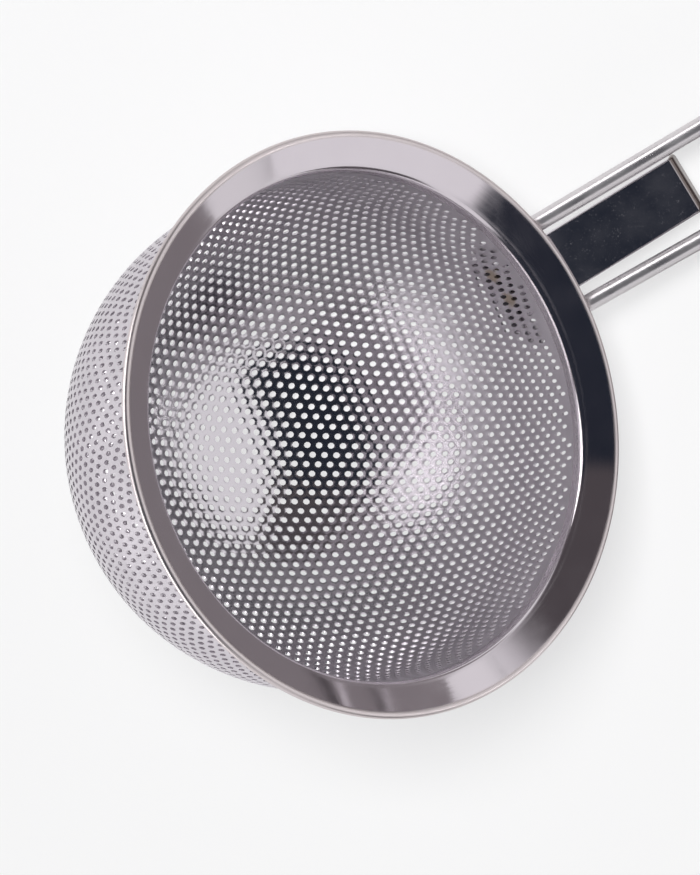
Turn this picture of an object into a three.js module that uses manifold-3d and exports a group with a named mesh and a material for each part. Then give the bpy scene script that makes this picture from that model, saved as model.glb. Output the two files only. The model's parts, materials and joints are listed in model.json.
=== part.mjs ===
// Miso strainer: a perforated steel bowl joined edge to edge with a polished rim collar,
// a hairpin wire handle under the collar and a strap that reaches out below its two legs.
// Millimetres, +Z up. The strainer lies on the side of its bowl and on the tip of its handle.
import * as THREE from "three";
import { mergeVertices } from "three/addons/utils/BufferGeometryUtils.js";
import Module from "manifold-3d";

// Bowl and collar, measured outwards from the bowl's axis and downwards from the lip
const RIM_RADIUS = 50;
const BEAD_RADIUS = 0.7;
const COLLAR_RISE = THREE.MathUtils.degToRad(27);
const COLLAR_THICKNESS = 0.6;
const COLLAR_BEND_RADIUS = 1.4;
const SEAM_DEPTH = 5;
const BOWL_RADIUS = 44;
const BOWL_THICKNESS = 0.5;
const BOWL_CENTRE_DEPTH = 19.5;

// Openings: rings of a coarse grid round the bowl, which stands for several thousand punched holes
const OPENING_RADIUS = 4.2;
const OPENING_SPACING = 15.5;
const OPENING_RINGS = 6;
const OPENING_RING_STEP = 14;
const OPENING_CUT_LENGTH = 4;
const WELDED_HALF_WIDTH = 16;

// Handle: its root lies under the rim bead, and it rises from the plane of the mouth
const HANDLE_ROOT_RADIUS = 49;
const HANDLE_ROOT_DEPTH = 4.5;
const HANDLE_RISE = THREE.MathUtils.degToRad(43.5);
const HANDLE_LENGTH = 150;
const WIRE_RADIUS = 1.6;
const WIRE_SPACING_AT_ROOT = 17;
const WIRE_SPACING_AT_TIP = 19.4;

// Plate: a wide tab round the bowl wall and a narrower strap that starts under the legs,
// falls away from them and is turned down at its far end
const PLATE_THICKNESS = 1;
const PLATE_BEND_RADIUS = 1.5;
const TAB_WIDTH = 16;
const TAB_TOP_DEPTH = 11.6;
const TAB_FOOT_DEPTH = 17.5;
const STRAP_WIDTH = 11.2;
const STRAP_DROP = 1.7;
const STRAP_FALL = THREE.MathUtils.degToRad(7.75);
const STRAP_LENGTH = 28;
const LIP_LENGTH = 3;
const LIP_BEND_RADIUS = 0.8;
const LIP_TURN = THREE.MathUtils.degToRad(75);

// Gap between pieces that are welded together
const WELD_GAP = 0.3;

// Facets: with these counts the bowl lies on the middle of one facet, wide enough not to roll
const BOWL_SEGMENTS = 30;
const BOWL_ARC_SEGMENTS = 10;
const OPENING_SIDES = 8;
const COLLAR_SEGMENTS = 66;
const BEND_SEGMENTS = 4;
const TAB_SEGMENTS = 6;
const BEAD_SEGMENTS = 10;
const WIRE_SIDES = 10;
const WIRE_STEPS = 112;

// Finishes
const POLISHED_STEEL = { color: 0xc9c7cc, metalness: 1, roughness: 0.12 };
const SATIN_STEEL = { color: 0xb4b1b6, metalness: 1, roughness: 0.3 };

const wasm = await Module();
wasm.setup();

const QUARTER_TURN = Math.PI / 2;
const FULL_TURN = 2 * Math.PI;
const BOWL_CENTRE = new THREE.Vector2(0, -BOWL_CENTRE_DEPTH);
const BOWL_INNER_RADIUS = BOWL_RADIUS - BOWL_THICKNESS;
const HANDLE_ROOT = new THREE.Vector2(HANDLE_ROOT_RADIUS, -HANDLE_ROOT_DEPTH);
const HANDLE_DIRECTION = direction(HANDLE_RISE);
const WIRE_REACH = HANDLE_LENGTH - WIRE_RADIUS;

function direction(angle) {
  return new THREE.Vector2(Math.cos(angle), Math.sin(angle));
}

function along(start, way, distance) {
  return start.clone().addScaledVector(way, distance);
}

// Points on an arc, both ends included.
function arc(centre, radius, fromAngle, toAngle, segments) {
  const points = [];
  for (let i = 0; i <= segments; i++) {
    const angle = THREE.MathUtils.lerp(fromAngle, toAngle, i / segments);
    points.push(along(centre, direction(angle), radius));
  }
  return points;
}

// Tangent arc in place of a corner.
function rounded(before, corner, after, radius) {
  const back = before.clone().sub(corner).normalize();
  const ahead = after.clone().sub(corner).normalize();
  const halfAngle = Math.acos(back.dot(ahead)) / 2;
  const middle = back.clone().add(ahead).normalize();
  const centre = along(corner, middle, radius / Math.sin(halfAngle));
  const setback = radius / Math.tan(halfAngle);
  const from = along(corner, back, setback).sub(centre).angle();
  const to = along(corner, ahead, setback).sub(centre).angle();
  const turn = THREE.MathUtils.euclideanModulo(to - from + Math.PI, FULL_TURN) - Math.PI;
  return arc(centre, radius, from, from + turn, BEND_SEGMENTS);
}

// Outline of a strip of even thickness along a centre line.
function stripOutline(line, thickness) {
  const runs = line.slice(1).map((point, i) => point.clone().sub(line[i]).normalize());
  const offsets = line.map((point, i) => {
    const into = runs[Math.max(i - 1, 0)];
    const out = runs[Math.min(i, runs.length - 1)];
    const normal = new THREE.Vector2(-into.y - out.y, into.x + out.x).normalize();
    const stretch = 1 / normal.dot(new THREE.Vector2(-into.y, into.x));
    return normal.multiplyScalar((stretch * thickness) / 2);
  });
  const left = line.map((point, i) => point.clone().add(offsets[i]));
  const right = line.map((point, i) => point.clone().sub(offsets[i]));
  return [...right, ...left.reverse()];
}

// Solid of revolution about Z from a profile of radius and height.
function turned(profile, segments) {
  return new THREE.LatheGeometry(profile, segments).rotateX(QUARTER_TURN);
}

// Solid of a closed geometry, for joining and cutting.
function closedSolid(geometry) {
  const merged = mergeVertices(geometry.deleteAttribute("normal").deleteAttribute("uv"));
  const vertProperties = merged.getAttribute("position").array;
  const triVerts = Uint32Array.from(merged.index.array);
  return new wasm.Manifold(new wasm.Mesh({ numProp: 3, vertProperties, triVerts }));
}

function solidGeometry(solid) {
  const { vertProperties, numProp, triVerts } = solid.getMesh();
  const geometry = new THREE.BufferGeometry();
  geometry.setAttribute("position", new THREE.BufferAttribute(vertProperties, numProp));
  geometry.setIndex(new THREE.BufferAttribute(triVerts, 1));
  geometry.computeVertexNormals();
  return geometry;
}

// Prism square to the sheet, at an angle up from the bowl's pole or at a height on its wall.
function openingGeometry(angle, height, azimuth) {
  const size = [OPENING_RADIUS, OPENING_RADIUS, OPENING_CUT_LENGTH, OPENING_SIDES];
  return new THREE.CylinderGeometry(...size)
    .rotateZ(QUARTER_TURN)
    .translate(BOWL_RADIUS - BOWL_THICKNESS / 2, 0, 0)
    .rotateY(QUARTER_TURN - angle)
    .rotateZ(azimuth)
    .translate(0, 0, BOWL_CENTRE.y + height);
}

// Rings of openings, each ring evenly spaced, with none where the handle is welded on.
function openingGeometries() {
  const openings = [];
  const bottomRun = QUARTER_TURN * BOWL_RADIUS;
  for (let ring = 0; ring < OPENING_RINGS; ring++) {
    const run = (ring + 0.5) * OPENING_RING_STEP;
    const angle = Math.min(run, bottomRun) / BOWL_RADIUS;
    const height = Math.max(run - bottomRun, 0);
    const count = Math.round((FULL_TURN * BOWL_RADIUS * Math.sin(angle)) / OPENING_SPACING);
    for (let i = 0; i < count; i++) {
      const azimuth = ((i + 0.5) / count) * FULL_TURN;
      const fromHandle = Math.min(azimuth, FULL_TURN - azimuth) * BOWL_RADIUS;
      const welded = height > 0 && fromHandle < WELDED_HALF_WIDTH;
      if (!welded) openings.push(openingGeometry(angle, height, azimuth));
    }
  }
  return openings;
}

// Cup with a spherical bottom and a straight wall that ends at the seam under the collar.
function bowlGeometry() {
  const top = -SEAM_DEPTH - WELD_GAP;
  const outside = arc(BOWL_CENTRE, BOWL_RADIUS, -QUARTER_TURN, 0, BOWL_ARC_SEGMENTS);
  const inside = arc(BOWL_CENTRE, BOWL_INNER_RADIUS, 0, -QUARTER_TURN, BOWL_ARC_SEGMENTS);
  outside.at(0).x = 0;
  inside.at(-1).x = 0;
  const edge = [new THREE.Vector2(BOWL_RADIUS, top), new THREE.Vector2(BOWL_INNER_RADIUS, top)];
  const cup = closedSolid(turned([...outside, ...edge, ...inside], BOWL_SEGMENTS));
  const cut = (solid, opening) => solid.subtract(closedSolid(opening));
  return solidGeometry(openingGeometries().reduce(cut, cup));
}

// Ring section: a short neck flush with the bowl wall, a bend, a conical flange and a rolled bead.
function collarGeometry() {
  const normalAngle = QUARTER_TURN + COLLAR_RISE;
  const normal = direction(normalAngle);
  const bead = new THREE.Vector2(RIM_RADIUS - BEAD_RADIUS, -BEAD_RADIUS);
  const bendX = BOWL_INNER_RADIUS + COLLAR_BEND_RADIUS;
  const bendLevel = normal.dot(bead) + BEAD_RADIUS - COLLAR_BEND_RADIUS;
  const bend = new THREE.Vector2(bendX, (bendLevel - normal.x * bendX) / normal.y);
  const underside = COLLAR_BEND_RADIUS - COLLAR_THICKNESS;
  const beadTuck = Math.acos((BEAD_RADIUS - COLLAR_THICKNESS) / BEAD_RADIUS);
  const profile = [
    new THREE.Vector2(BOWL_INNER_RADIUS + COLLAR_THICKNESS, -SEAM_DEPTH),
    ...arc(bend, underside, Math.PI, normalAngle, BEND_SEGMENTS),
    ...arc(bead, BEAD_RADIUS, normalAngle + beadTuck, normalAngle + FULL_TURN, BEAD_SEGMENTS),
    ...arc(bend, COLLAR_BEND_RADIUS, normalAngle, Math.PI, BEND_SEGMENTS),
    new THREE.Vector2(BOWL_INNER_RADIUS, -SEAM_DEPTH),
  ];
  return turned([...profile, profile[0]], COLLAR_SEGMENTS);
}

// Centre line of the wire: two slightly spreading legs along X, joined by a round tip.
class Hairpin extends THREE.Curve {
  constructor(startX) {
    super();
    this.tipRadius = WIRE_SPACING_AT_TIP / 2;
    this.tipX = WIRE_REACH - this.tipRadius;
    const spread = Math.asin((this.tipRadius - WIRE_SPACING_AT_ROOT / 2) / this.tipX);
    this.way = direction(spread);
    this.halfTurn = QUARTER_TURN + spread;
    const tipCentre = new THREE.Vector2(this.tipX, 0);
    const touch = along(tipCentre, direction(this.halfTurn), this.tipRadius);
    this.legLength = (touch.x - startX) / this.way.x;
    this.legStart = along(touch, this.way, -this.legLength);
    this.total = 2 * (this.legLength + this.halfTurn * this.tipRadius);
  }

  getPoint(t, target = new THREE.Vector3()) {
    const fromMiddle = (t - 0.5) * this.total;
    const side = Math.sign(0.5 - t);
    const run = this.total / 2 - Math.abs(fromMiddle);
    if (run < this.legLength) {
      const point = along(this.legStart, this.way, run);
      return target.set(point.x, side * point.y, 0);
    }
    const angle = -fromMiddle / this.tipRadius;
    return target.set(
      this.tipX + this.tipRadius * Math.cos(angle),
      this.tipRadius * Math.sin(angle),
      0,
    );
  }
}

// Both legs start a weld gap away from the bowl wall, under the collar.
function wireGeometry() {
  const innerSide = WIRE_SPACING_AT_ROOT / 2 - WIRE_RADIUS;
  const wallX = Math.sqrt(BOWL_RADIUS ** 2 - innerSide ** 2) + WELD_GAP;
  const cornerReach = WIRE_RADIUS * Math.tan(HANDLE_RISE);
  const startX = (wallX - HANDLE_ROOT_RADIUS) / HANDLE_DIRECTION.x + cornerReach;
  const circle = arc(new THREE.Vector2(), WIRE_RADIUS, 0, FULL_TURN, WIRE_SIDES);
  const section = new THREE.Shape(circle.slice(0, -1));
  const options = { extrudePath: new Hairpin(startX), steps: WIRE_STEPS, bevelEnabled: false };
  return new THREE.ExtrudeGeometry(section, options);
}

// Part of a ring round the bowl's axis, a weld gap away from the bowl wall.
function tabGeometry() {
  const inner = BOWL_RADIUS + WELD_GAP;
  const outer = inner + PLATE_THICKNESS;
  const halfAngle = TAB_WIDTH / (inner + outer);
  const centre = new THREE.Vector2();
  const section = new THREE.Shape([
    ...arc(centre, outer, -halfAngle, halfAngle, TAB_SEGMENTS),
    ...arc(centre, inner, halfAngle, -halfAngle, TAB_SEGMENTS),
  ]);
  const depth = TAB_FOOT_DEPTH - TAB_TOP_DEPTH;
  const ring = new THREE.ExtrudeGeometry(section, { depth, bevelEnabled: false });
  return ring.translate(0, 0, -TAB_FOOT_DEPTH);
}

// Strip that leaves the middle of the tab, bends outwards and ends in a lip turned down.
function strapGeometry() {
  const downwards = new THREE.Vector2(HANDLE_DIRECTION.y, -HANDLE_DIRECTION.x);
  const root = along(HANDLE_ROOT, downwards, STRAP_DROP);
  const rise = HANDLE_RISE - STRAP_FALL;
  const way = direction(rise);
  const tabX = BOWL_RADIUS + WELD_GAP + PLATE_THICKNESS / 2;
  const foot = new THREE.Vector2(tabX, -(TAB_TOP_DEPTH + TAB_FOOT_DEPTH) / 2);
  const corner = along(root, way, (tabX - root.x) / way.x);
  const flatEnd = along(root, way, STRAP_LENGTH);
  const lipEnd = along(flatEnd, direction(rise - LIP_TURN), LIP_LENGTH);
  const line = [
    foot,
    ...rounded(foot, corner, flatEnd, PLATE_BEND_RADIUS),
    ...rounded(corner, flatEnd, lipEnd, LIP_BEND_RADIUS),
    lipEnd,
  ];
  const outline = new THREE.Shape(stripOutline(line, PLATE_THICKNESS));
  const strip = new THREE.ExtrudeGeometry(outline, { depth: STRAP_WIDTH, bevelEnabled: false });
  return strip.translate(0, 0, -STRAP_WIDTH / 2).rotateX(QUARTER_TURN);
}

// Tab and strap as one piece.
function plateGeometry() {
  return solidGeometry(closedSolid(tabGeometry()).add(closedSolid(strapGeometry())));
}

// Tilt at which the bowl and the tip of the handle touch one level surface.
function restTilt() {
  const tip = along(HANDLE_ROOT, HANDLE_DIRECTION, WIRE_REACH);
  const span = tip.sub(BOWL_CENTRE);
  return span.angle() + Math.asin((BOWL_RADIUS - WIRE_RADIUS) / span.length());
}

function mesh(name, geometry, finish) {
  const piece = new THREE.Mesh(geometry, new THREE.MeshStandardMaterial(finish));
  piece.name = name;
  return piece;
}

const handle = new THREE.Group();
handle.position.set(HANDLE_ROOT.x, 0, HANDLE_ROOT.y);
handle.rotation.y = -HANDLE_RISE;
handle.add(mesh("handle_wire", wireGeometry(), POLISHED_STEEL));

const tilted = new THREE.Group();
tilted.rotation.y = restTilt();
tilted.add(
  mesh("perforated_bowl", bowlGeometry(), SATIN_STEEL),
  mesh("rim_collar", collarGeometry(), POLISHED_STEEL),
  mesh("handle_plate", plateGeometry(), POLISHED_STEEL),
  handle,
);

// The origin is on the surface that the strainer lies on, under the middle of its box.
const strainer = new THREE.Group();
strainer.add(tilted);
const box = new THREE.Box3().setFromObject(strainer, true);
const middle = box.getCenter(new THREE.Vector3());
strainer.position.set(-middle.x, -middle.y, -box.min.z);

export default strainer;
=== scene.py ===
# Miso strainer: fine meshes and finishes for its four pieces, with a floor, studio light and a camera.
import json
import math

import bpy
import numpy as np
from mathutils import Matrix, Vector
from mathutils.geometry import delaunay_2d_cdt


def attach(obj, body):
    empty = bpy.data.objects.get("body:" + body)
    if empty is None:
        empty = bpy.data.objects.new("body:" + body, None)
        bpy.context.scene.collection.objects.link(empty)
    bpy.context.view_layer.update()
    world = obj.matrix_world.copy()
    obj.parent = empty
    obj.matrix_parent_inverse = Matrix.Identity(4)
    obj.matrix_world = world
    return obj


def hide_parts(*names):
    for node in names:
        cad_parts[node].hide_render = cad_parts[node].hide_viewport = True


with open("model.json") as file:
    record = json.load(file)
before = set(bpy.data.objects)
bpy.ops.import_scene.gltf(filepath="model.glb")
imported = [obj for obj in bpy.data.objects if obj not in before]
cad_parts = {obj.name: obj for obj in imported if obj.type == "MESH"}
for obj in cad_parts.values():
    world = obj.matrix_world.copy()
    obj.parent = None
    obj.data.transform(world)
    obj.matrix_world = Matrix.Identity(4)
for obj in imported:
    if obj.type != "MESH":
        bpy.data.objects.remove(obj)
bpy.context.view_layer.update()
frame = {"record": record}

# The rim frame has X towards the handle, Z out of the mouth and its origin in the middle of the lip.
# Lengths are in millimetres and angles in degrees, unless a name says otherwise.
MM = 0.001

# Bowl and collar
RIM_RADIUS = 50
BEAD_RADIUS = 0.7
COLLAR_RISE = 27
COLLAR_THICKNESS = 0.6
COLLAR_BEND_RADIUS = 1.4
SEAM_DEPTH = 5
SEAM_GAP = 0.03
BOWL_RADIUS = 44
BOWL_THICKNESS = 0.5
BOWL_CENTRE_DEPTH = 19.5

# Holes, as they are punched in the flat blank
HOLE_PITCH = 2.1
HOLE_RADIUS = 0.6
HOLE_SIDES = 8
HOLE_ROW_ANGLE = 20.3
HOLE_EDGE_MARGIN = 0.25
HOLE_ROLL = 0.07

# Spot welds that hold the tab, as distances round the wall from the handle and depths under the lip
SPOT_WELDS = ((4.0, 12.2), (-1.3, 11.9))
SPOT_WELD_RADIUS = 1.1

# Handle wire
HANDLE_ROOT_RADIUS = 49
HANDLE_ROOT_DEPTH = 4.5
HANDLE_RISE = 43.5
HANDLE_LENGTH = 150
WIRE_RADIUS = 1.6
WIRE_SPACING_AT_ROOT = 17
WIRE_SPACING_AT_TIP = 19.4
WELD_FILLET_LENGTH = 1.3
WELD_FILLET_WIDTH = 0.6

# Plate: a tab round the bowl wall and a strap below the wires
PLATE_THICKNESS = 1
PLATE_BEND_RADIUS = 1.5
PLATE_EDGE_RADIUS = 0.4
PLATE_CORNER_RADIUS = 1.5
TAB_WIDTH = 16
TAB_TOP_DEPTH = 11.6
TAB_FOOT_DEPTH = 17.5
TAB_SHOULDER = 1.2
TAB_GAP = 0.3
STRAP_WIDTH = 11.2
STRAP_DROP = 1.7
STRAP_FALL = 7.75
STRAP_LENGTH = 28
LIP_LENGTH = 3
LIP_BEND_RADIUS = 0.8
LIP_TURN = 75
MOUNT_REACH = 14

# Mesh fineness, with support points that keep the ends of a bend crisp
RING_SEGMENTS = 256
BEND_STEPS = 14
BEAD_STEPS = 28
EDGE_STEPS = 5
FLAT_STEPS = 16
WIRE_SIDES = 40
LEG_STEPS = 11
TIP_STEPS = 56
FILLET_STEPS = 8
SHARP_ANGLE = 50
SUPPORT = 0.06
SAME_POINT = 0.00006

# Finishes: noise scales are per metre, and pairs go with the low and the high end of a noise
NOISE_RANGE = (0.3, 0.7)
SMEAR_RANGE = (0.35, 0.7)

# Finish of the punched sheet, which is rougher on the drawn wall and stained round the spot welds
SHEET_COLOURS = ((0.56, 0.53, 0.565, 1), (0.70, 0.66, 0.702, 1))
SHEET_ROUGHNESS = (0.12, 0.18)
SHEET_CLOUD_SCALE = 90
SHEET_GRAIN_SCALE = 900
SHEET_GRAIN_DEPTH = 0.02
DRAWN_WALL_HEIGHTS = (-50, -16)
DRAWN_WALL_ROUGHNESS = 0.3
STAIN_COLOUR = (0.42, 0.33, 0.22, 1)
STAIN_REACH = (0.8, 2.0)
STAIN_STRENGTH = 0.75
STAIN_EDGE_SCALE = 1500
STAIN_EDGE = 0.6

# Finish of the collar, which is duller at its bend and at its bead, with a warm tint painted on the bead
# as a beige reflection
POLISH_COLOURS = ((0.61, 0.56, 0.60, 1), (0.67, 0.62, 0.66, 1))
POLISH_ROUGHNESS = (0.05, 0.12)
POLISH_SMEAR_SCALE = 130
POLISH_WAVE_SCALE = 45
POLISH_WAVE_DEPTH = 0.12
TURNING_SCALES = (60, 60, 4000)
TURNING_DEPTH = 0.002
BEND_FADE = 0.5
BEND_DULLNESS = 0.07
# Painted reflection: a warm tint on the bead that gives its reflection a beige band
BEAD_PAINTED_WARM_TINT = (0.63, 0.57, 0.575, 1)
BEAD_FADE = 0.4
BEAD_DULLNESS = 0.27

# Finish of the wire
WIRE_COLOURS = ((0.60, 0.57, 0.59, 1), (0.72, 0.69, 0.70, 1))
WIRE_ROUGHNESS = (0.25, 0.33)
WIRE_METALLIC = (0.9, 0.78)
WIRE_SMEAR_SCALE = 200
WIRE_LINE_SCALES = (40, 5000, 5000)
WIRE_LINE_DEPTH = 0.0012

# Finish of the plate, with specks of dust in patches, a thin film and a painted dark reflection at its far
# end
STRIP_COLOURS = ((0.62, 0.59, 0.63, 1), (0.70, 0.67, 0.70, 1))
STRIP_ROUGHNESS = (0.06, 0.13)
STRIP_SMEAR_SCALE = 250
STRIP_WAVE_SCALE = 60
STRIP_WAVE_DEPTH = 0.04
# Painted reflection: dark brown for the strap's far end, standing in for the shade that its bent end
# mirrors
PAINTED_DARK_END_COLOUR = (0.16, 0.13, 0.12, 1)
PAINTED_DARK_END_LENGTH = 0.7
DUST_COLOUR = (0.62, 0.65, 0.70, 1)
DUST_METALLIC = 0.2
SPECK_SCALE = 2200
SPECK_EDGE = (0.10, 0.34)
SPECK_STRENGTH = 0.3
PATCH_SCALE = 700
PATCH_RANGE = (0.48, 0.8)
FILM_SCALE = 160
FILM_STRENGTH = 0.045

# Camera: the picture is 700 by 875 pixels
PICTURE_LONG_SIDE = 875
FOCAL_LENGTH_PIXELS = 4000
SENSOR_WIDTH = 36
CAMERA_AIM = (-69.9, -2.7, 44.0)
CAMERA_DISTANCE = 689.2
CAMERA_AZIMUTH = 36.89
CAMERA_ELEVATION = 68.33
PICTURE_UP_AZIMUTH = 57.98

# Floor, and a grey card placed from under the camera's aim, rightwards and upwards in the picture
FLOOR_SIZE = 8000
FLOOR_COLOUR = (0.9, 0.9, 0.902, 1)
FLOOR_GLOW = 0.6
GLOW_COLOUR = (0.97, 0.97, 0.972, 1)
PAPER_ROUGHNESS = 0.9
CARD_COLOUR = (0.27, 0.25, 0.255, 1)
CARD_CORNERS = ((62, -80), (215, 600))
CARD_HEIGHT = 0.2

# Surround, by azimuth and elevation seen from the object, where a pair of angles is a soft edge
WALL_COLOUR = (0.98, 0.98, 0.99, 1)
WALL_TOP = (41.5, 45)
WALL_STRENGTH_ON_FLOOR = 0.45
CEILING_COLOUR = (0.025, 0.03, 0.043, 1)
CAMERA_SIDE_COLOUR = (0.1, 0.09, 0.095, 1)
CAMERA_SIDE_AZIMUTH = 60
CAMERA_SIDE_HALF_WIDTH = (38, 44)
CAMERA_SIDE_FOOT = (-4, 12)
FLAG_AZIMUTH = -76
FLAG_HALF_WIDTH = (12, 16)
FLAG_TOP = (30, 36)

# Round reflectors: azimuth and elevation of the middle, and the radii of the soft edge
REFLECTORS = (((-14, 11), (40, 43)), ((-85, 25), (31, 35)))

# Lamps, placed by azimuth and elevation
LAMP_DISTANCE_METRES = 2
HIGH_LAMP_PLACE = (58, 67)
HIGH_LAMP_SIZE_METRES = (0.6, 0.6)
HIGH_LAMP_RADIANCE = 32
SOFTBOX_PLACES = ((115, 34), (185, 34))
SOFTBOX_SIZE_METRES = (1.7, 1)
SOFTBOX_RADIANCE = 3
LOW_LAMP_PLACE = (-38, 6)
LOW_LAMP_SIZE_METRES = (0.45, 0.3)
LOW_LAMP_RADIANCE = 3.2

# Measures worked out from those above
SHEET_RADIUS = BOWL_RADIUS - BOWL_THICKNESS / 2
NECK_RADIUS = BOWL_RADIUS - BOWL_THICKNESS
BLANK_RADIUS = math.sqrt(2 * SHEET_RADIUS * (SHEET_RADIUS + BOWL_CENTRE_DEPTH - SEAM_DEPTH - SEAM_GAP))
RING_ANGLES = np.arange(RING_SEGMENTS) * 360 / RING_SEGMENTS
HANDLE_ROOT = np.array([HANDLE_ROOT_RADIUS, -HANDLE_ROOT_DEPTH])
TIP_RADIUS = WIRE_SPACING_AT_TIP / 2
TIP_REACH = HANDLE_LENGTH - WIRE_RADIUS - TIP_RADIUS
LEG_SPREAD = math.degrees(math.asin((TIP_RADIUS - WIRE_SPACING_AT_ROOT / 2) / TIP_REACH))
STRAP_RISE = HANDLE_RISE - STRAP_FALL


def direction(angle):
    return np.array([math.cos(math.radians(angle)), math.sin(math.radians(angle))])


def in_mirror_plane(flat):
    """Vector in the plane of symmetry, from its radius and height."""
    return Vector((flat[0], 0, flat[1]))


def strap_root():
    return HANDLE_ROOT - STRAP_DROP * direction(HANDLE_RISE + 90)


def rim_frame():
    """Place of the rim frame in the row frame, in metres, from the mount on the strap's flat."""
    mount = frame["record"]["mounts"][0]
    leaning = math.degrees(math.atan2(mount["axis"][2], mount["axis"][0]))
    turn = Matrix.Rotation(math.radians(STRAP_RISE + 90 - leaning), 4, "Y")
    normal = direction(STRAP_RISE + 90)
    face = strap_root() + MOUNT_REACH * direction(STRAP_RISE) + PLATE_THICKNESS / 2 * normal
    place = Vector(mount["pos_m"]) - turn @ in_mirror_plane(face) * MM
    return Matrix.Translation(place) @ turn


RIM_FRAME = rim_frame()


# Meshes
def add_piece(name, node, slot, points, faces, material):
    """Smooth mesh from points in the rim frame, which stands for a CAD node."""
    mesh = bpy.data.meshes.new(name)
    mesh.from_pydata((np.asarray(points) * MM).tolist(), [], faces)
    mesh.transform(RIM_FRAME)
    mesh.shade_smooth()
    mesh.set_sharp_from_angle(angle=math.radians(SHARP_ANGLE))
    mesh.materials.append(material)
    piece = bpy.data.objects.new(name, mesh)
    bpy.context.scene.collection.objects.link(piece)
    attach(piece, "root")
    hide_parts(node)


def arc(centre, radius, start, end, steps):
    angles = np.radians(np.linspace(start, end, steps + 1))
    return np.asarray(centre) + radius * np.column_stack((np.cos(angles), np.sin(angles)))


def tube_faces(rings, sides):
    """Quads of a tube whose rings of points follow each other."""
    faces = []
    for ring in range(rings - 1):
        for side in range(sides):
            here = ring * sides + side
            beside = ring * sides + (side + 1) % sides
            faces.append((here, beside, beside + sides, here + sides))
    return faces


def capped_tube(rings):
    """Points and faces of a tube with its two ends closed."""
    sides = len(rings[0])
    faces = tube_faces(len(rings), sides)
    last = (len(rings) - 1) * sides
    faces.append(tuple(reversed(range(sides))))
    faces.append(tuple(range(last, last + sides)))
    return np.concatenate(rings), faces


def ring_between(outer_angles, inner_angles):
    """Triangles between two loops of rising angles; the inner loop's numbers follow the outer loop's."""
    outer_count, inner_count = len(outer_angles), len(inner_angles)
    outer, inner = 0, 0
    triangles = []
    while outer + inner < outer_count + inner_count:
        next_outer = outer_angles[outer % outer_count] + 360 / outer_count + 360 * (outer // outer_count)
        next_inner = inner_angles[inner % inner_count] + 360 / inner_count + 360 * (inner // inner_count)
        here = outer % outer_count
        there = outer_count + inner % inner_count
        if outer < outer_count and (inner == inner_count or next_outer <= next_inner):
            triangles.append((here, (outer + 1) % outer_count, there))
            outer += 1
        else:
            triangles.append((here, outer_count + (inner + 1) % inner_count, there))
            inner += 1
    return np.array(triangles)


# Perforated bowl: a flat punched blank, drawn into a cup so that every patch keeps its area
# Each hole has a six-sided cell, with corners at thirds of the lattice's steps from the hole's middle
CELL_SIDES = 6
CORNER_PARTS = 3
CELL_CORNER_STEPS = np.array([(1, 1), (-1, 2), (-2, 1), (-1, -1), (1, -2), (2, -1)])
CELL_CORNER_ANGLES = (np.arange(CELL_SIDES) + 0.5) * 360 / CELL_SIDES
HOLE_ANGLES = (np.arange(HOLE_SIDES) + 1) * 360 / HOLE_SIDES
ROW_ANGLES = (HOLE_ROW_ANGLE, HOLE_ROW_ANGLE + 360 / CELL_SIDES)
LATTICE = HOLE_PITCH * np.array([direction(angle) for angle in ROW_ANGLES])


def drawn(flat, lift):
    """Points of the blank on the bowl, lifted outwards from the middle of the sheet."""
    reach = np.hypot(flat[:, 0], flat[:, 1])
    height = reach**2 / (2 * SHEET_RADIUS)
    on_ball = np.minimum(height, SHEET_RADIUS)
    radius = np.sqrt(on_ball * (2 * SHEET_RADIUS - on_ball))
    outwards = flat / np.maximum(reach, SAME_POINT)[:, None]
    radial = radius * (1 + lift / SHEET_RADIUS)
    z = height - SHEET_RADIUS - BOWL_CENTRE_DEPTH + lift * (on_ball / SHEET_RADIUS - 1)
    return np.column_stack((outwards * radial[:, None], z))


def spot_weld_points(radius):
    return [
        np.array([radius * math.cos(way / radius), radius * math.sin(way / radius), -depth])
        for way, depth in SPOT_WELDS
    ]


def lattice_steps(reach):
    """Whole steps along the two lattice directions to every lattice point within reach."""
    count = int(2 * reach / HOLE_PITCH)
    steps = np.arange(-count, count + 1)
    grid = np.array(np.meshgrid(steps, steps)).reshape(2, -1).T
    return grid[np.linalg.norm(grid @ LATTICE, axis=1) < reach]


def hole_loops(centres):
    angles = np.radians(HOLE_ANGLES + HOLE_ROW_ANGLE)
    circle = HOLE_RADIUS * np.column_stack((np.cos(angles), np.sin(angles)))
    return centres[:, None, :] + circle[None, :, :]


def is_plugged(centres):
    """True for the holes that a spot weld has filled."""
    placed = drawn(centres, 0)
    welds = spot_weld_points(SHEET_RADIUS)
    return np.min([np.linalg.norm(placed - weld, axis=1) for weld in welds], axis=0) < SPOT_WELD_RADIUS


def loop_edges(ids):
    return [(ids[i], ids[(i + 1) % len(ids)]) for i in range(len(ids))]


def once_used_edges(loops):
    """Edges that belong to one loop only, in that loop's direction."""
    edges = {}
    for loop in loops:
        for a, b in loop_edges(loop):
            if edges.pop((b, a), None) is None:
                edges[(a, b)] = True
    return list(edges)


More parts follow.
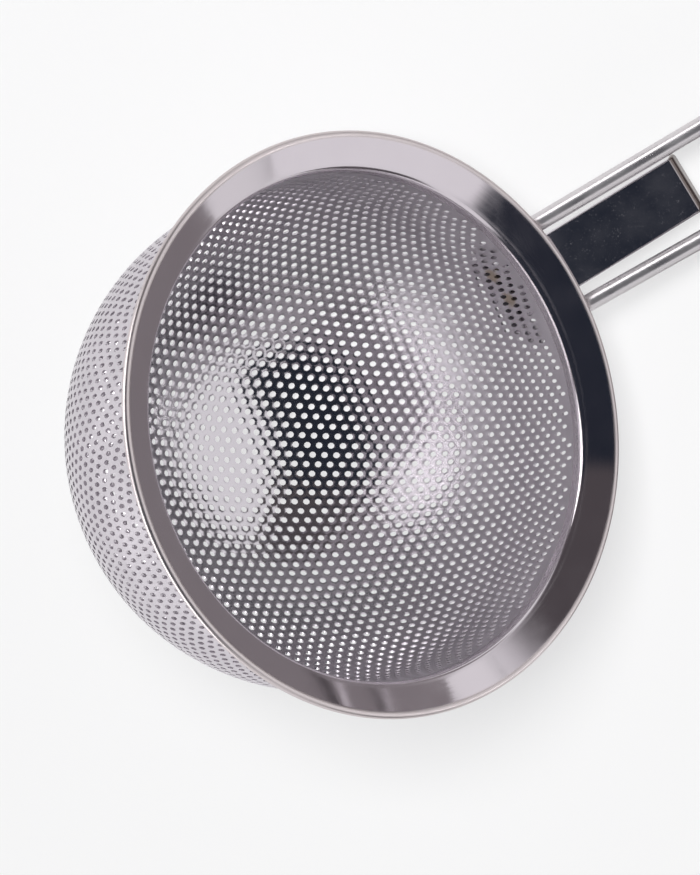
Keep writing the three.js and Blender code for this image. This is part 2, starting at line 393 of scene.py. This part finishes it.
def edge_strip(flat, border, circle, loops, whole, pierced):
    """Triangles from the border of the whole cells to the blank's edge, round the holes between."""
    edges = list(border) + loop_edges(circle)
    for loop in loops:
        edges += loop_edges(loop)
    used = sorted({i for edge in edges for i in edge})
    local = {i: n for n, i in enumerate(used)}
    points = [Vector(flat[i]) for i in used]
    pairs = [(local[a], local[b]) for a, b in edges]
    _, _, faces, sources, _, _ = delaunay_2d_cdt(points, pairs, [], 0, SAME_POINT)
    triangles = np.array([[used[sources[i][0]] for i in face] for face in faces])
    middles = flat[triangles].mean(axis=1)
    all_steps = lattice_steps(BLANK_RADIUS + HOLE_PITCH)
    distances = np.linalg.norm(middles[:, None, :] - (all_steps @ LATTICE)[None, :, :], axis=2)
    nearest = [tuple(all_steps[i]) for i in distances.argmin(axis=1)]
    in_hole = distances.min(axis=1) < HOLE_RADIUS * math.cos(math.pi / HOLE_SIDES)
    kept = [
        cell not in whole and not (hole and cell in pierced)
        for cell, hole in zip(nearest, in_hole)
    ]
    return triangles[kept]


def hole_cells():
    """Steps to the holes with whole cells and to those at the edge, and the corners of the whole cells."""
    reach = BLANK_RADIUS - HOLE_EDGE_MARGIN
    steps = lattice_steps(reach - HOLE_RADIUS)
    keys = CORNER_PARTS * steps[:, None, :] + CELL_CORNER_STEPS[None, :, :]
    corners = keys @ LATTICE / CORNER_PARTS
    fits = np.linalg.norm(corners, axis=2).max(axis=1) < reach
    corner_keys, corner_ids = np.unique(keys[fits].reshape(-1, 2), axis=0, return_inverse=True)
    corner_points = corner_keys @ LATTICE / CORNER_PARTS
    return steps[fits], steps[~fits], corner_points, corner_ids.reshape(-1, CELL_SIDES)


def punched_blank():
    """Flat points, triangles between them, the loops round the holes and the loop round the edge."""
    whole, partial, corner_points, corner_ids = hole_cells()
    plugged = is_plugged(whole @ LATTICE)
    groups = [
        corner_points,
        hole_loops(whole[~plugged] @ LATTICE).reshape(-1, 2),
        hole_loops(partial @ LATTICE).reshape(-1, 2),
        BLANK_RADIUS * np.array([direction(angle) for angle in RING_ANGLES]),
    ]
    flat = np.concatenate(groups)
    starts = np.cumsum([0] + [len(group) for group in groups])
    open_ids = np.arange(starts[1], starts[2]).reshape(-1, HOLE_SIDES)
    edge_ids = np.arange(starts[2], starts[3]).reshape(-1, HOLE_SIDES)
    circle_ids = np.arange(starts[3], starts[4])

    cells = np.hstack((corner_ids[~plugged], open_ids))
    fan = np.array([(0, i, i + 1) for i in range(1, CELL_SIDES - 1)])
    strip = edge_strip(
        flat,
        once_used_edges(corner_ids.tolist()),
        circle_ids.tolist(),
        edge_ids.tolist(),
        {tuple(step) for step in whole},
        {tuple(step) for step in partial},
    )
    sheet = np.concatenate((
        cells[:, ring_between(CELL_CORNER_ANGLES, HOLE_ANGLES)].reshape(-1, 3),
        corner_ids[plugged][:, fan].reshape(-1, 3),
        strip,
    ))
    return flat, sheet, np.concatenate((open_ids, edge_ids)), circle_ids


def bowl_mesh():
    """Inside and outside of the drawn sheet, joined round its edge and round each hole."""
    flat, sheet, hole_ids, circle_ids = punched_blank()
    count = len(flat)
    rolled = np.zeros(count)
    rolled[hole_ids] = HOLE_ROLL
    inside = drawn(flat, rolled - BOWL_THICKNESS / 2)
    outside = drawn(flat, BOWL_THICKNESS / 2)
    faces = sheet.tolist() + (sheet[:, ::-1] + count).tolist()
    for loop in hole_ids.tolist():
        faces += [(a, b, b + count, a + count) for a, b in loop_edges(loop)]
    faces += [(b, a, a + count, b + count) for a, b in loop_edges(circle_ids.tolist())]
    return np.concatenate((inside, outside)), faces


# Rim collar: a short neck, a bend, a conical flange and a rolled bead
def collar_profile():
    normal_angle = 90 + COLLAR_RISE
    normal = direction(normal_angle)
    slope = direction(COLLAR_RISE)
    bead = np.array([RIM_RADIUS - BEAD_RADIUS, -BEAD_RADIUS])
    bend_x = NECK_RADIUS + COLLAR_BEND_RADIUS
    bend_level = normal @ bead + BEAD_RADIUS - COLLAR_BEND_RADIUS
    bend = np.array([bend_x, (bend_level - normal[0] * bend_x) / normal[1]])
    tuck = math.degrees(math.acos((BEAD_RADIUS - COLLAR_THICKNESS) / BEAD_RADIUS))
    under = arc(bend, COLLAR_BEND_RADIUS - COLLAR_THICKNESS, 180, normal_angle, BEND_STEPS)
    roll = arc(bead, BEAD_RADIUS, normal_angle + tuck, normal_angle + 360, BEAD_STEPS)
    over = arc(bend, COLLAR_BEND_RADIUS, normal_angle, 180, BEND_STEPS)
    return np.concatenate((
        [(NECK_RADIUS + COLLAR_THICKNESS, -SEAM_DEPTH)],
        [under[0] - (0, SUPPORT)],
        under,
        [under[-1] + SUPPORT * slope],
        roll,
        [roll[-1] - SUPPORT * slope, over[0] + SUPPORT * slope],
        over,
        [over[-1] - (0, SUPPORT)],
        [(NECK_RADIUS, -SEAM_DEPTH)],
    ))


def collar_mesh():
    profile = collar_profile()
    rings = []
    for angle in RING_ANGLES:
        outwards = direction(angle)
        rings.append(np.column_stack((profile[:, :1] * outwards, profile[:, 1])))
    faces = tube_faces(RING_SEGMENTS + 1, len(profile))
    count = RING_SEGMENTS * len(profile)
    faces = [tuple(i % count for i in reversed(face)) for face in faces]
    return np.concatenate(rings), faces


# Handle wire: two legs and a round tip in one sloping plane, welded to the bowl wall
def in_handle_plane(along, across):
    x, z = HANDLE_ROOT + along * direction(HANDLE_RISE)
    return np.array([x, across, z])


def handle_way(along, across):
    """Direction in the handle's plane."""
    return in_handle_plane(along, across) - in_handle_plane(0, 0)


def to_wall(point, way):
    """Distance from a point, along way, to the outside of the bowl wall nearest the handle."""
    a = way[0] ** 2 + way[1] ** 2
    b = point[0] * way[0] + point[1] * way[1]
    c = point[0] ** 2 + point[1] ** 2 - BOWL_RADIUS**2
    return (math.sqrt(b * b - a * c) - b) / a


def wire_ring(centre, sideways, radius):
    normal = direction(HANDLE_RISE + 90)
    up = np.array([normal[0], 0, normal[1]])
    angles = np.arange(WIRE_SIDES) * 2 * math.pi / WIRE_SIDES
    return np.array([centre + radius * (math.cos(a) * sideways + math.sin(a) * up) for a in angles])


def leg_rings(side):
    """Rings of one leg from its weld on the bowl wall to the start of the round tip."""
    ahead = direction(LEG_SPREAD)
    across = direction(90 + LEG_SPREAD)
    touch = np.array([TIP_REACH, 0]) + TIP_RADIUS * across
    end = in_handle_plane(touch[0], side * touch[1])
    way = handle_way(ahead[0], side * ahead[1])
    sideways = handle_way(across[0], side * across[1])
    start = end - way * touch[0] / ahead[0]
    rings = []
    for step in range(FILLET_STEPS + 1):
        rise = step / FILLET_STEPS
        swell = WELD_FILLET_WIDTH * (1 - math.sqrt(1 - (1 - rise) ** 2))
        ring = wire_ring(start, sideways, WIRE_RADIUS + swell)
        rings.append(np.array([p + way * (to_wall(p, way) + rise * WELD_FILLET_LENGTH) for p in ring]))
    for run in np.linspace(0, 1, LEG_STEPS + 1):
        rings.append(wire_ring(start + (end - start) * run, sideways, WIRE_RADIUS))
    return rings


def tip_rings():
    rings = []
    for angle in np.linspace(90 + LEG_SPREAD, -90 - LEG_SPREAD, TIP_STEPS + 1)[1:-1]:
        outwards = direction(angle)
        centre = in_handle_plane(TIP_REACH + TIP_RADIUS * outwards[0], TIP_RADIUS * outwards[1])
        rings.append(wire_ring(centre, handle_way(*outwards), WIRE_RADIUS))
    return rings


def wire_mesh():
    return capped_tube(leg_rings(1) + tip_rings() + list(reversed(leg_rings(-1))))


# Handle plate: tab, bend, strap and lip along one bent line, with rounded edges and corners
def rounded(before, corner, after, radius):
    """Tangent arc in place of a corner, with a support point beyond each end."""
    back = (before - corner) / np.linalg.norm(before - corner)
    ahead = (after - corner) / np.linalg.norm(after - corner)
    half = math.acos(back @ ahead) / 2
    middle = (back + ahead) / np.linalg.norm(back + ahead)
    centre = corner + middle * radius / math.sin(half)
    setback = radius / math.tan(half)
    first = corner + back * setback - centre
    last = corner + ahead * setback - centre
    start = math.degrees(math.atan2(first[1], first[0]))
    turn = math.degrees(math.atan2(first[0] * last[1] - first[1] * last[0], first @ last))
    bend = arc(centre, radius, start, start + turn, BEND_STEPS)
    return np.concatenate(([bend[0] + SUPPORT * back], bend, [bend[-1] + SUPPORT * ahead]))


def plate_line():
    """Middle line of the plate from the tab's foot to the lip's end, in radius and height."""
    root = strap_root()
    way = direction(STRAP_RISE)
    tab_x = BOWL_RADIUS + TAB_GAP + PLATE_THICKNESS / 2
    foot = np.array([tab_x, -TAB_FOOT_DEPTH])
    corner = root + way * (tab_x - root[0]) / way[0]
    flat_end = root + way * STRAP_LENGTH
    lip_end = flat_end + LIP_LENGTH * direction(STRAP_RISE - LIP_TURN)
    first_bend = rounded(foot, corner, flat_end, PLATE_BEND_RADIUS)
    last_bend = rounded(corner, flat_end, lip_end, LIP_BEND_RADIUS)
    end_steps = PLATE_CORNER_RADIUS * (1 - np.cos(np.linspace(0, math.pi / 2, BEND_STEPS)))
    up = np.array([0, 1])
    lip_way = direction(STRAP_RISE - LIP_TURN)
    tab_top = np.linspace(-TAB_TOP_DEPTH - TAB_SHOULDER, -TAB_TOP_DEPTH, BEND_STEPS)
    return np.concatenate((
        foot + end_steps[:, None] * up,
        [(tab_x, z) for z in tab_top],
        first_bend,
        last_bend,
        lip_end - end_steps[::-1, None] * lip_way,
    ))


def corner_inset(distance, radius):
    """How far a rounded corner draws in at a distance from the end."""
    short = np.maximum(radius - distance, 0)
    return radius - np.sqrt(radius**2 - short**2)


def plate_section(half_width, half_thickness):
    """Rounded rectangle across the plate: sideways and upwards from its middle line."""
    edge = min(PLATE_EDGE_RADIUS, half_thickness - SUPPORT)
    inner_width = half_width - edge
    inner_height = half_thickness - edge
    flat = np.linspace(1, -1, FLAT_STEPS + 1)
    return np.concatenate((
        arc((inner_width, inner_height), edge, 0, 90, EDGE_STEPS)[:-1],
        [(inner_width * f, half_thickness) for f in flat],
        arc((-inner_width, inner_height), edge, 90, 180, EDGE_STEPS)[1:],
        arc((-inner_width, -inner_height), edge, 180, 270, EDGE_STEPS)[:-1],
        [(-inner_width * f, -half_thickness) for f in flat],
        arc((inner_width, -inner_height), edge, 270, 360, EDGE_STEPS)[1:],
    ))


def plate_mesh():
    line = plate_line()
    runs = np.diff(line, axis=0)
    lengths = np.linalg.norm(runs, axis=1)
    station = np.concatenate(([0], np.cumsum(lengths)))
    units = runs / lengths[:, None]
    ways = np.vstack((units[:1], units[:-1] + units[1:], units[-1:]))
    ways /= np.linalg.norm(ways, axis=1)[:, None]
    tab_height = TAB_FOOT_DEPTH - TAB_TOP_DEPTH
    rings = []
    for point, way, run in zip(line, ways, station):
        to_end = min(run, station[-1] - run)
        shoulder = np.clip((run - tab_height + TAB_SHOULDER) / TAB_SHOULDER, 0, 1)
        ease = shoulder**2 * (3 - 2 * shoulder)
        half_width = (TAB_WIDTH * (1 - ease) + STRAP_WIDTH * ease) / 2
        half_width -= corner_inset(to_end, PLATE_CORNER_RADIUS)
        half_thickness = PLATE_THICKNESS / 2 - corner_inset(to_end, PLATE_EDGE_RADIUS)
        section = plate_section(half_width, half_thickness)
        up = np.array([-way[1], way[0]])
        places = point + section[:, 1:] * up
        wrap = (1 - ease) * (point[0] - np.sqrt(point[0] ** 2 - section[:, 0] ** 2))
        rings.append(np.column_stack((places[:, 0] - wrap, section[:, 0], places[:, 1])))
    return capped_tube(rings)


# Shader nodes
def add_node(tree, kind, inputs, **settings):
    """Node with its settings, and inputs that are either values or the sockets that feed them."""
    made = tree.nodes.new(kind)
    for name, value in settings.items():
        setattr(made, name, value)
    for key, value in inputs.items():
        if isinstance(value, bpy.types.NodeSocket):
            tree.links.new(value, made.inputs[key])
        else:
            made.inputs[key].default_value = value
    return made


def noise(tree, vector, scale=1, detail=3):
    inputs = {"Vector": vector, "Scale": scale, "Detail": detail}
    return add_node(tree, "ShaderNodeTexNoise", inputs).outputs[0]


def remap(tree, value, source, target, smooth=False):
    kind = "SMOOTHSTEP" if smooth else "LINEAR"
    inputs = {
        "Value": value,
        "From Min": source[0],
        "From Max": source[1],
        "To Min": target[0],
        "To Max": target[1],
    }
    return add_node(tree, "ShaderNodeMapRange", inputs, interpolation_type=kind).outputs["Result"]


def mix_colour(tree, factor, first, second):
    """Mix of two colours, whose sockets the node keeps after those for numbers and vectors."""
    return add_node(tree, "ShaderNodeMix", {0: factor, 6: first, 7: second}, data_type="RGBA").outputs[2]


def math_node(tree, operation, first, second):
    return add_node(tree, "ShaderNodeMath", {0: first, 1: second}, operation=operation).outputs[0]


def vector_math(tree, operation, *vectors):
    """Result of a vector operation: a number for a distance, length or product, or else a vector."""
    result = "Value" if operation in ("DISTANCE", "DOT_PRODUCT", "LENGTH") else "Vector"
    inputs = dict(enumerate(vectors))
    return add_node(tree, "ShaderNodeVectorMath", inputs, operation=operation).outputs[result]


def flattened(tree, vector):
    return vector_math(tree, "MULTIPLY", vector, (1, 1, 0))


def stretched(tree, vector, scale):
    return add_node(tree, "ShaderNodeMapping", {"Vector": vector, "Scale": scale}).outputs[0]


def bump(tree, height, depth, normal=None):
    """Normal of a surface raised by a height of 0 to 1 times depth."""
    inputs = {"Height": height, "Distance": depth * MM}
    if normal is not None:
        inputs["Normal"] = normal
    return add_node(tree, "ShaderNodeBump", inputs).outputs[0]


def in_metres(lengths):
    return [length * MM for length in lengths]


def rim_coordinates(tree):
    """Place on the piece in the rim frame, in metres."""
    place = add_node(tree, "ShaderNodeTexCoord", {}).outputs["Object"]
    inputs = {
        "Vector": place,
        "Location": RIM_FRAME.to_translation(),
        "Rotation": RIM_FRAME.to_euler(),
    }
    return add_node(tree, "ShaderNodeMapping", inputs, vector_type="TEXTURE").outputs[0]


# Finishes
def new_steel(name):
    material = bpy.data.materials.new(name)
    material.use_nodes = True
    tree = material.node_tree
    shader = tree.nodes["Principled BSDF"]
    shader.inputs["Metallic"].default_value = 1
    return material, tree, shader


def feed(tree, shader, **sockets):
    for name, socket in sockets.items():
        tree.links.new(socket, shader.inputs[name.replace("_", " ")])


def weld_stain(tree, place, weld):
    """Strength of the ragged stain round a spot weld."""
    away = vector_math(tree, "DISTANCE", place, weld * MM)
    ragged = noise(tree, place, STAIN_EDGE_SCALE, detail=2)
    shift = remap(tree, ragged, (0, 1), in_metres((-STAIN_EDGE, STAIN_EDGE)))
    reach = math_node(tree, "ADD", away, shift)
    return remap(tree, reach, in_metres(STAIN_REACH), (STAIN_STRENGTH, 0), smooth=True)


def perforated_steel():
    """Satin punched sheet in cloudy shades, rougher up the drawn wall, with straw-coloured weld stains."""
    material, tree, shader = new_steel("punched satin steel")
    place = rim_coordinates(tree)
    clouds = noise(tree, place, SHEET_CLOUD_SCALE, detail=4)
    grain = noise(tree, place, SHEET_GRAIN_SCALE, detail=2)
    colour = mix_colour(tree, clouds, *SHEET_COLOURS)
    for weld in spot_weld_points(NECK_RADIUS):
        colour = mix_colour(tree, weld_stain(tree, place, weld), colour, STAIN_COLOUR)
    satin = remap(tree, clouds, NOISE_RANGE, SHEET_ROUGHNESS)
    height = add_node(tree, "ShaderNodeSeparateXYZ", {0: place}).outputs["Z"]
    rough_wall = remap(tree, height, in_metres(DRAWN_WALL_HEIGHTS), (0, DRAWN_WALL_ROUGHNESS), smooth=True)
    feed(
        tree,
        shader,
        Base_Color=colour,
        Roughness=math_node(tree, "ADD", satin, rough_wall),
        Normal=bump(tree, grain, SHEET_GRAIN_DEPTH),
    )
    return material


def collar_steel():
    """Wavy mirror polish with faint marks of turning, a little duller at the bend and at the bead, whose
    warm tint is a painted beige reflection.
    """
    material, tree, shader = new_steel("mirror polished steel")
    place = rim_coordinates(tree)
    waves = noise(tree, place, POLISH_WAVE_SCALE, detail=1)
    turning = noise(tree, stretched(tree, place, TURNING_SCALES), detail=2)
    smears = noise(tree, place, POLISH_SMEAR_SCALE, detail=5)
    radius = vector_math(tree, "LENGTH", flattened(tree, place))
    bend_end = NECK_RADIUS + COLLAR_BEND_RADIUS
    bead_start = RIM_RADIUS - 2 * BEAD_RADIUS
    bend_edge = in_metres((bend_end - BEND_FADE, bend_end))
    bead_edge = in_metres((bead_start, bead_start + BEAD_FADE))
    dull_bend = remap(tree, radius, bend_edge, (BEND_DULLNESS, 0), smooth=True)
    dull_bead = remap(tree, radius, bead_edge, (0, BEAD_DULLNESS), smooth=True)
    # Where the bead's painted warm tint goes, a painted beige reflection
    at_bead = remap(tree, radius, bead_edge, (0, 1), smooth=True)
    dull = math_node(tree, "ADD", dull_bend, dull_bead)
    polish = mix_colour(tree, smears, *POLISH_COLOURS)
    gloss = remap(tree, smears, SMEAR_RANGE, POLISH_ROUGHNESS)
    feed(
        tree,
        shader,
        Base_Color=mix_colour(tree, at_bead, polish, BEAD_PAINTED_WARM_TINT),
        Roughness=math_node(tree, "ADD", gloss, dull),
        Normal=bump(tree, turning, TURNING_DEPTH, bump(tree, waves, POLISH_WAVE_DEPTH)),
    )
    return material


def wire_steel():
    """Drawn wire with fine lines along its length and a dull film."""
    material, tree, shader = new_steel("drawn steel wire")
    place = rim_coordinates(tree)
    turn = (0, math.radians(HANDLE_RISE), 0)
    along_wire = add_node(tree, "ShaderNodeMapping", {"Vector": place, "Rotation": turn}).outputs[0]
    lines = noise(tree, stretched(tree, along_wire, WIRE_LINE_SCALES), detail=2)
    smears = noise(tree, place, WIRE_SMEAR_SCALE, detail=4)
    feed(
        tree,
        shader,
        Base_Color=mix_colour(tree, smears, *WIRE_COLOURS),
        Metallic=remap(tree, smears, NOISE_RANGE, WIRE_METALLIC),
        Roughness=remap(tree, smears, NOISE_RANGE, WIRE_ROUGHNESS),
        Normal=bump(tree, lines, WIRE_LINE_DEPTH),
    )
    return material


def strip_dust(tree, place):
    """Share of the strip that dust hides: specks in patches, and a thin film."""
    specks = add_node(tree, "ShaderNodeTexVoronoi", {"Vector": place, "Scale": SPECK_SCALE})
    near_speck = remap(tree, specks.outputs["Distance"], SPECK_EDGE, (1, 0), smooth=True)
    patches = noise(tree, place, PATCH_SCALE, detail=3)
    patchy = remap(tree, patches, PATCH_RANGE, (0, SPECK_STRENGTH))
    film = remap(tree, noise(tree, place, FILM_SCALE, detail=5), SMEAR_RANGE, (0, FILM_STRENGTH))
    return math_node(tree, "ADD", math_node(tree, "MULTIPLY", near_speck, patchy), film)


def plate_steel():
    """Mirror polished strip with dust on it, and a dark brown band painted on its far end as a painted
    reflection of shade.
    """
    material, tree, shader = new_steel("polished steel strip")
    place = rim_coordinates(tree)
    waves = noise(tree, place, STRIP_WAVE_SCALE, detail=1)
    smears = noise(tree, place, STRIP_SMEAR_SCALE, detail=5)
    way = direction(STRAP_RISE)
    strap_end = float(strap_root() @ way) + STRAP_LENGTH
    along_strap = vector_math(tree, "DOT_PRODUCT", place, in_mirror_plane(way))
    # The strap's far end is painted dark brown: a painted reflection of the shade its bent end mirrors
    painted_dark_end_edge = in_metres((strap_end - PAINTED_DARK_END_LENGTH, strap_end))
    painted_dark_end = remap(tree, along_strap, painted_dark_end_edge, (0, 1), smooth=True)
    steel = mix_colour(tree, smears, *STRIP_COLOURS)
    steel = mix_colour(tree, painted_dark_end, steel, PAINTED_DARK_END_COLOUR)
    dust = strip_dust(tree, place)
    feed(
        tree,
        shader,
        Base_Color=mix_colour(tree, dust, steel, DUST_COLOUR),
        Metallic=remap(tree, dust, (0, 1), (1, DUST_METALLIC)),
        Roughness=remap(tree, smears, SMEAR_RANGE, STRIP_ROUGHNESS),
        Normal=bump(tree, waves, STRIP_WAVE_DEPTH),
    )
    return material


# Stage
def seen_directly(tree):
    """1 for what the camera sees, in a mirror or through glass too, and 0 for light on matt surfaces."""
    path = add_node(tree, "ShaderNodeLightPath", {}).outputs
    mirrored = math_node(tree, "MAXIMUM", path["Is Glossy Ray"], path["Is Transmission Ray"])
    return math_node(tree, "MAXIMUM", path["Is Camera Ray"], mirrored)


def add_flat(name, corners, height, colour):
    """Level sheet of plain matt paper on or over the floor."""
    (left, near), (right, far) = corners
    mesh = bpy.data.meshes.new(name)
    outline = ((left, near), (right, near), (right, far), (left, far))
    mesh.from_pydata([in_metres((x, y, height)) for x, y in outline], [], [(0, 1, 2, 3)])
    material = bpy.data.materials.new(name)
    material.use_nodes = True
    shader = material.node_tree.nodes["Principled BSDF"]
    shader.inputs["Base Color"].default_value = colour
    shader.inputs["Roughness"].default_value = PAPER_ROUGHNESS
    shader.inputs["Specular IOR Level"].default_value = 0
    mesh.materials.append(material)
    flat = bpy.data.objects.new(name, mesh)
    bpy.context.scene.collection.objects.link(flat)
    return flat


def add_floor():
    """Pale floor that keeps shadows, with a share of even glow where it is seen directly."""
    half = FLOOR_SIZE / 2
    floor = add_flat("pale floor", ((-half, -half), (half, half)), 0, FLOOR_COLOUR)
    tree = floor.data.materials[0].node_tree
    glow = add_node(tree, "ShaderNodeEmission", {"Color": GLOW_COLOUR}).outputs[0]
    paper = tree.nodes["Principled BSDF"].outputs[0]
    share = remap(tree, seen_directly(tree), (0, 1), (0, FLOOR_GLOW))
    lit = add_node(tree, "ShaderNodeMixShader", {0: share, 1: paper, 2: glow}).outputs[0]
    tree.links.new(lit, tree.nodes["Material Output"].inputs["Surface"])


def add_card():
    """Grey card on the floor, to the right of the picture, which only the metal sees."""
    card = add_flat("grey card", CARD_CORNERS, CARD_HEIGHT, CARD_COLOUR)
    card.location = (CAMERA_AIM[0] * MM, CAMERA_AIM[1] * MM, 0)
    card.rotation_euler.z = math.radians(PICTURE_UP_AZIMUTH - 90)
    card.visible_camera = False
    card.visible_diffuse = False
    card.visible_shadow = False


def sky_vector(azimuth, elevation):
    flat = direction(azimuth) * math.cos(math.radians(elevation))
    return Vector((flat[0], flat[1], math.sin(math.radians(elevation))))


def sines(angles):
    return [math.sin(math.radians(angle)) for angle in angles]


def cosines(angles):
    return [math.cos(math.radians(angle)) for angle in angles]


def patch(tree, way, middle, angles, beside=0, within=1):
    """One number within the lesser angle of a direction, blending to another at the wider angle."""
    nearness = vector_math(tree, "DOT_PRODUCT", way, sky_vector(*middle))
    return remap(tree, nearness, cosines(reversed(angles)), (beside, within), smooth=True)


def add_surround():
    """Pale walls with two round reflectors and a dark flag, a dark ceiling and a dark camera side."""
    world = bpy.data.worlds.new("studio")
    world.use_nodes = True
    tree = world.node_tree
    bpy.context.scene.world = world
    way = add_node(tree, "ShaderNodeTexCoord", {}).outputs["Generated"]
    height = add_node(tree, "ShaderNodeSeparateXYZ", {0: way}).outputs["Z"]
    level = vector_math(tree, "NORMALIZE", flattened(tree, way))
    ceiling = remap(tree, height, sines(WALL_TOP), (0, 1), smooth=True)
    side = patch(tree, level, (CAMERA_SIDE_AZIMUTH, 0), CAMERA_SIDE_HALF_WIDTH)
    side_foot = remap(tree, height, sines(CAMERA_SIDE_FOOT), (0, 1), smooth=True)
    side = math_node(tree, "MULTIPLY", side, side_foot)
    flag = patch(tree, level, (FLAG_AZIMUTH, 0), FLAG_HALF_WIDTH)
    flag_top = remap(tree, height, sines(FLAG_TOP), (1, 0), smooth=True)
    flag = math_node(tree, "MULTIPLY", flag, flag_top)
    dark = math_node(tree, "MAXIMUM", ceiling, side)
    for middle, radii in REFLECTORS:
        beside_reflector = patch(tree, way, middle, radii, beside=1, within=0)
        dark = math_node(tree, "MULTIPLY", dark, beside_reflector)
    dark = math_node(tree, "MAXIMUM", dark, flag)
    shade = mix_colour(tree, ceiling, CAMERA_SIDE_COLOUR, CEILING_COLOUR)
    colour = mix_colour(tree, dark, WALL_COLOUR, shade)
    strength = remap(tree, seen_directly(tree), (0, 1), (WALL_STRENGTH_ON_FLOOR, 1))
    tree.links.new(colour, tree.nodes["Background"].inputs["Color"])
    tree.links.new(strength, tree.nodes["Background"].inputs["Strength"])


def add_lamp(name, place, size, radiance):
    width, height = size
    light = bpy.data.lights.new(name, "AREA")
    light.shape = "RECTANGLE"
    light.size = width
    light.size_y = height
    light.energy = radiance * math.pi * width * height
    lamp = bpy.data.objects.new(name, light)
    back = sky_vector(*place)
    lamp.location = back * LAMP_DISTANCE_METRES
    lamp.rotation_euler = back.to_track_quat("Z", "Y").to_euler()
    bpy.context.scene.collection.objects.link(lamp)
    return lamp


def add_lamps():
    """A high lamp beside the camera for the floor, and lamps at the sides that only the metal mirrors."""
    high_lamp = add_lamp("high lamp", HIGH_LAMP_PLACE, HIGH_LAMP_SIZE_METRES, HIGH_LAMP_RADIANCE)
    high_lamp.visible_glossy = False
    for place in SOFTBOX_PLACES:
        softbox = add_lamp("softbox", place, SOFTBOX_SIZE_METRES, SOFTBOX_RADIANCE)
        softbox.visible_diffuse = False
    low_lamp = add_lamp("low lamp", LOW_LAMP_PLACE, LOW_LAMP_SIZE_METRES, LOW_LAMP_RADIANCE)
    low_lamp.visible_diffuse = False


def add_camera():
    back = sky_vector(CAMERA_AZIMUTH, CAMERA_ELEVATION)
    right = sky_vector(PICTURE_UP_AZIMUTH, 0).cross(back).normalized()
    up = back.cross(right)
    camera = bpy.data.objects.new("camera", bpy.data.cameras.new("camera"))
    camera.data.sensor_width = SENSOR_WIDTH
    camera.data.lens = SENSOR_WIDTH * FOCAL_LENGTH_PIXELS / PICTURE_LONG_SIDE
    place = Vector(CAMERA_AIM) * MM + back * CAMERA_DISTANCE * MM
    camera.matrix_world = Matrix.Translation(place) @ Matrix((right, up, back)).transposed().to_4x4()
    bpy.context.scene.collection.objects.link(camera)
    bpy.context.scene.camera = camera


add_camera()
add_floor()
add_card()
add_surround()
add_lamps()
bpy.context.scene.view_settings.view_transform = "Standard"

add_piece("punched_bowl", "perforated_bowl", "perforated_steel", *bowl_mesh(), perforated_steel())
add_piece("polished_collar", "rim_collar", "collar_steel", *collar_mesh(), collar_steel())
add_piece("hairpin_wire", "handle_wire", "wire_steel", *wire_mesh(), wire_steel())
add_piece("tab_and_strap", "handle_plate", "plate_steel", *plate_mesh(), plate_steel())
